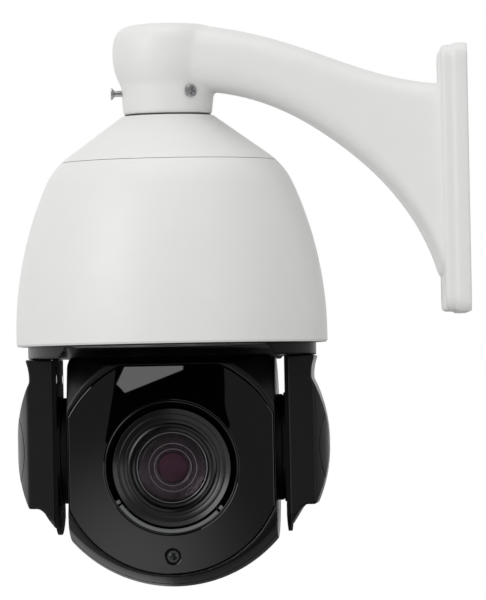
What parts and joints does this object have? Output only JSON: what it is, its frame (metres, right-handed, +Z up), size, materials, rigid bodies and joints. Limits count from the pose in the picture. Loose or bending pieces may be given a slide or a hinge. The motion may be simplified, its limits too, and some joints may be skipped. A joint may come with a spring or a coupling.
{
  "type": "ptz camera",
  "caption": "Wall-bracket dome camera: a black ball camera head tilts in a yoke that pans under a white bell housing, with zoom and focus cells in its lens.",
  "frame": {"origin": "centre of the wall plate's back face, which is also the centre of its four bolt holes", "axes": "+X into the wall, out of the plate's back face; +Z up; the lens looks along -Y at rest"},
  "size_m": [0.2918, 0.2, 0.3615],
  "materials": {
    "white_paint": "satin powder coat on die-cast aluminium",
    "chrome": "bright plated",
    "rubber": "moulded silicone rubber",
    "steel": "zinc plated",
    "steel_sheet": "pressed galvanised sheet",
    "bearing_steel": "ground",
    "motor_case": "black stepper motor case",
    "belt_rubber": "toothed neoprene belt, drawn smooth",
    "black_plastic": "moulded, fine satin texture",
    "black_gloss": "polished moulding",
    "brass": "turned",
    "circuit_board": "green solder mask on glass fibre",
    "board_parts": "moulded component bodies",
    "pulley_aluminium": "turned",
    "window_acrylic": "infrared-passing black acrylic, polished",
    "barrel_black": "matt black lens barrel",
    "lens_glass": "coated lens glass with a magenta tint",
    "camera_case": "die-cast camera module",
    "heat_sink_aluminium": "extruded fins",
    "led_lens": "clear epoxy lens",
    "sensor_glass": "green filter glass",
    "filter_glass": "infrared-cut filter"
  },
  "bodies": {
    "housing": {"wall_bracket": "white_paint", "collar_screws": "chrome", "neck_gasket": "rubber", "neck_pipe": "white_paint", "cable_grommet": "rubber", "dome_top_cap": "white_paint", "cap_screws": "steel", "seam_gasket": "rubber", "bell_housing": "white_paint", "base_plate": "steel_sheet", "base_plate_screws": "steel", "pan_bearing_outer": "bearing_steel", "pan_motor": "motor_case", "pan_motor_bracket": "steel_sheet", "pan_belt": "belt_rubber", "slip_ring_stator": "black_plastic", "board_pillars": "brass", "main_board": "circuit_board", "board_parts": "board_parts"},
    "pan_motor_pulley": {"pan_motor_pulley": "pulley_aluminium"},
    "yoke": {"turntable": "black_plastic", "pan_hub": "pulley_aluminium", "pan_pulley": "pulley_aluminium", "pan_bearing_inner": "bearing_steel", "pan_bearing_balls": "bearing_steel", "slip_ring_rotor": "black_plastic", "right_arm_shell": "black_plastic", "left_arm_shell": "black_plastic", "right_arm_cap": "black_plastic", "left_arm_cap": "black_plastic", "right_arm_cover": "black_gloss", "left_arm_cover": "black_gloss", "arm_cover_screws": "steel", "right_tilt_bearing": "bearing_steel", "left_tilt_bearing": "bearing_steel", "tilt_motor": "motor_case", "tilt_motor_bracket": "steel_sheet", "tilt_belt": "belt_rubber"},
    "tilt_motor_pulley": {"tilt_motor_pulley": "pulley_aluminium"},
    "head": {"head_bezel": "black_plastic", "head_rear_shell": "black_plastic", "right_tilt_hub": "black_gloss", "left_tilt_hub": "black_gloss", "tilt_pulley": "pulley_aluminium", "front_window": "window_acrylic", "window_seal": "rubber", "lens_ring": "black_gloss", "lens_barrel": "barrel_black", "front_lens": "lens_glass", "camera_block": "camera_case", "sensor_board": "circuit_board", "heat_sink": "heat_sink_aluminium", "camera_bracket": "steel_sheet", "led_board": "circuit_board", "ir_leds": "led_lens", "light_sensor": "barrel_black", "sensor_lens": "sensor_glass"},
    "zoom_cell": {"zoom_cell": "barrel_black"},
    "focus_cell": {"focus_cell": "barrel_black"},
    "ir_cut_filter": {"ir_cut_filter": "filter_glass"}
  },
  "joints": [
    {"name": "pan", "type": "hinge", "parent": "housing", "child": "yoke", "pos_m": [-0.1915, 0, -0.1], "axis": [0, 0, 1], "continuous": true},
    {"name": "tilt", "type": "hinge", "parent": "yoke", "child": "head", "pos_m": [-0.1915, 0, -0.1698], "axis": [0.999, -0.0436, 0], "range_deg": [-5, 90]},
    {"name": "pan_motor_spin", "type": "hinge", "parent": "housing", "child": "pan_motor_pulley", "pos_m": [-0.1915, 0.052, -0.06], "axis": [0, 0, 1], "continuous": true},
    {"name": "tilt_motor_spin", "type": "hinge", "parent": "yoke", "child": "tilt_motor_pulley", "pos_m": [-0.1915, 0, -0.0905], "axis": [0.999, -0.0436, 0], "range_deg": [-20, 305]},
    {"name": "zoom", "type": "slide", "parent": "head", "child": "zoom_cell", "axis": [0.0436, 0.999, 0], "range_m": [0, 0.012]},
    {"name": "focus", "type": "slide", "parent": "head", "child": "focus_cell", "axis": [0.0436, 0.999, 0], "range_m": [0, 0.004]},
    {"name": "filter_switch", "type": "slide", "parent": "head", "child": "ir_cut_filter", "axis": [0.999, -0.0436, 0], "range_m": [0, 0.013]}
  ],
  "couplings": [
    {"joint": "pan_motor_spin", "follows": "pan", "ratio": 4},
    {"joint": "tilt_motor_spin", "follows": "tilt", "ratio": 3.3333}
  ]
}
